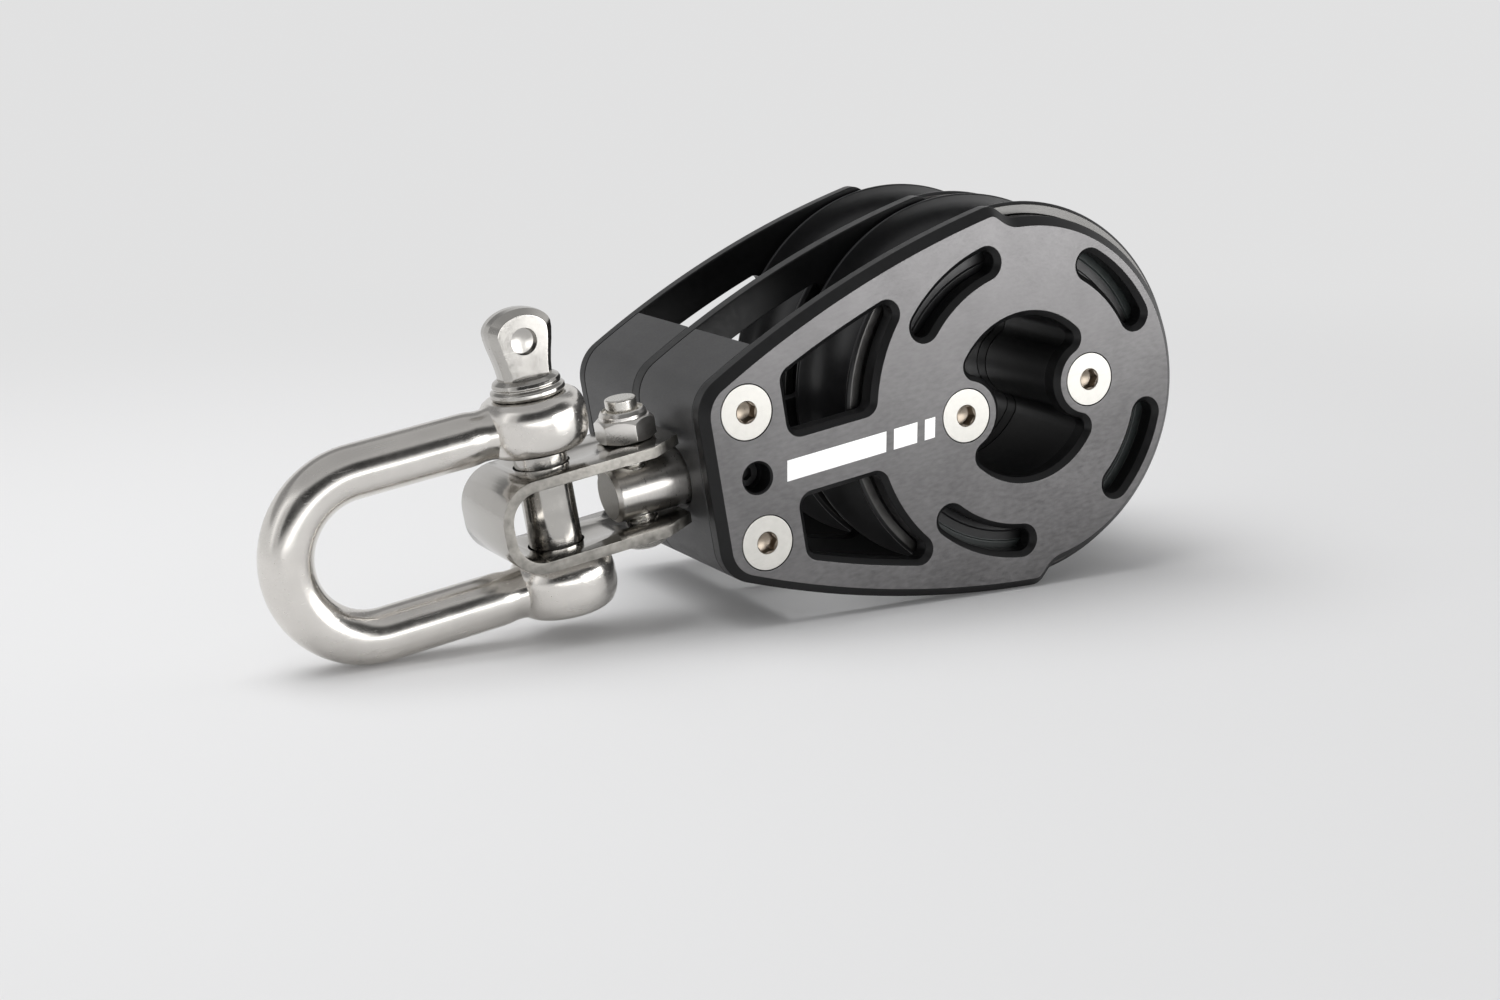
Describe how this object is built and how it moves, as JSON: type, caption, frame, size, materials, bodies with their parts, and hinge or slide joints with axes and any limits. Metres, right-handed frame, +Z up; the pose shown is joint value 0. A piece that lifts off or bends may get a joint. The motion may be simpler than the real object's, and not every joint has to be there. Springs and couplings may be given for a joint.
{
  "type": "double sheave block",
  "caption": "Lifting block with side-by-side roller-bearing sheaves between slotted cheek plates, a lobed hollow hub, and a swivel post with clevis strap and screw-pin D shackle",
  "frame": {"origin": "the middle of the overall box, on the block's mid-plane, 56.6 mm ahead of the sheave axis on the side of the head", "axes": "+X runs from the shackle and head to the sheave end, +Y from the near cheek to the far cheek along the sheave axis, +Z is up with the cheek plates standing on edge"},
  "size_m": [0.1883, 0.0574, 0.0774],
  "materials": {
    "cheek": "brushed, black anodised",
    "centre_plate": "satin, black anodised",
    "head_block": "satin, black anodised",
    "sheave": "satin, black anodised",
    "hub": "satin, black anodised",
    "cage": "moulded",
    "side_ring": "smooth, grey-green",
    "post": "turned stainless",
    "bolt": "satin stainless",
    "nylon": "smooth, off-white",
    "strap": "polished stainless sheet",
    "shackle": "polished forged stainless",
    "pin": "polished stainless",
    "rod": "turned stainless",
    "screw": "polished stainless"
  },
  "bodies": {
    "block": {"near_cheek": "cheek", "far_cheek": "cheek", "centre_plate": "centre_plate", "head_block_near": "head_block", "head_block_far": "head_block", "hub_near": "hub", "hub_far": "hub", "thrust_washer": "side_ring", "lock_screw": "post", "tie_rod_head_top": "rod", "screw_near_head_top": "screw", "screw_far_head_top": "screw", "tie_rod_head_bottom": "rod", "screw_near_head_bottom": "screw", "screw_far_head_bottom": "screw", "tie_rod_hub_front": "rod", "screw_near_hub_front": "screw", "screw_far_hub_front": "screw", "tie_rod_hub_rear": "rod", "screw_near_hub_rear": "screw", "screw_far_hub_rear": "screw"},
    "sheave_near": {"sheave_near": "sheave", "side_ring_near_outer": "side_ring", "side_ring_near_inner": "side_ring"},
    "sheave_far": {"sheave_far": "sheave", "side_ring_far_outer": "side_ring", "side_ring_far_inner": "side_ring"},
    "cage_near": {"roller_cage_near": "cage"},
    "cage_far": {"roller_cage_far": "cage"},
    "post": {"swivel_post": "post"},
    "strap": {"strap": "strap", "cross_bolt": "bolt", "lock_nut": "bolt", "nut_insert": "nylon"},
    "bow": {"shackle_bow": "shackle"},
    "pin": {"shackle_pin": "pin"}
  },
  "joints": [
    {"name": "sheave_near_spin", "type": "hinge", "parent": "block", "child": "sheave_near", "pos_m": [0.0566, -0.013, 0], "axis": [0, 1, 0], "continuous": true},
    {"name": "sheave_far_spin", "type": "hinge", "parent": "block", "child": "sheave_far", "pos_m": [0.0566, 0.013, 0], "axis": [0, 1, 0], "continuous": true},
    {"name": "cage_near_spin", "type": "hinge", "parent": "block", "child": "cage_near", "pos_m": [0.0566, -0.013, 0], "axis": [0, 1, 0], "continuous": true},
    {"name": "cage_far_spin", "type": "hinge", "parent": "block", "child": "cage_far", "pos_m": [0.0566, 0.013, 0], "axis": [0, 1, 0], "continuous": true},
    {"name": "post_swivel", "type": "hinge", "parent": "block", "child": "post", "pos_m": [-0.0034, -0.013, 0], "axis": [1, 0, 0], "continuous": true},
    {"name": "strap_swing", "type": "hinge", "parent": "post", "child": "strap", "pos_m": [-0.0214, -0.013, 0], "axis": [0, 0, 1], "range_deg": [-10, 10]},
    {"name": "bow_swing", "type": "hinge", "parent": "strap", "child": "bow", "pos_m": [-0.0389, -0.013, 0.0023], "axis": [0, 0, 1], "range_deg": [-100, 100]},
    {"name": "pin_draw", "type": "slide", "parent": "bow", "child": "pin", "axis": [0, 0, 1], "range_m": [0, 0.044]}
  ],
  "couplings": [
    {"joint": "cage_near_spin", "follows": "sheave_near_spin", "ratio": 0.5479},
    {"joint": "cage_far_spin", "follows": "sheave_far_spin", "ratio": 0.5479}
  ]
}
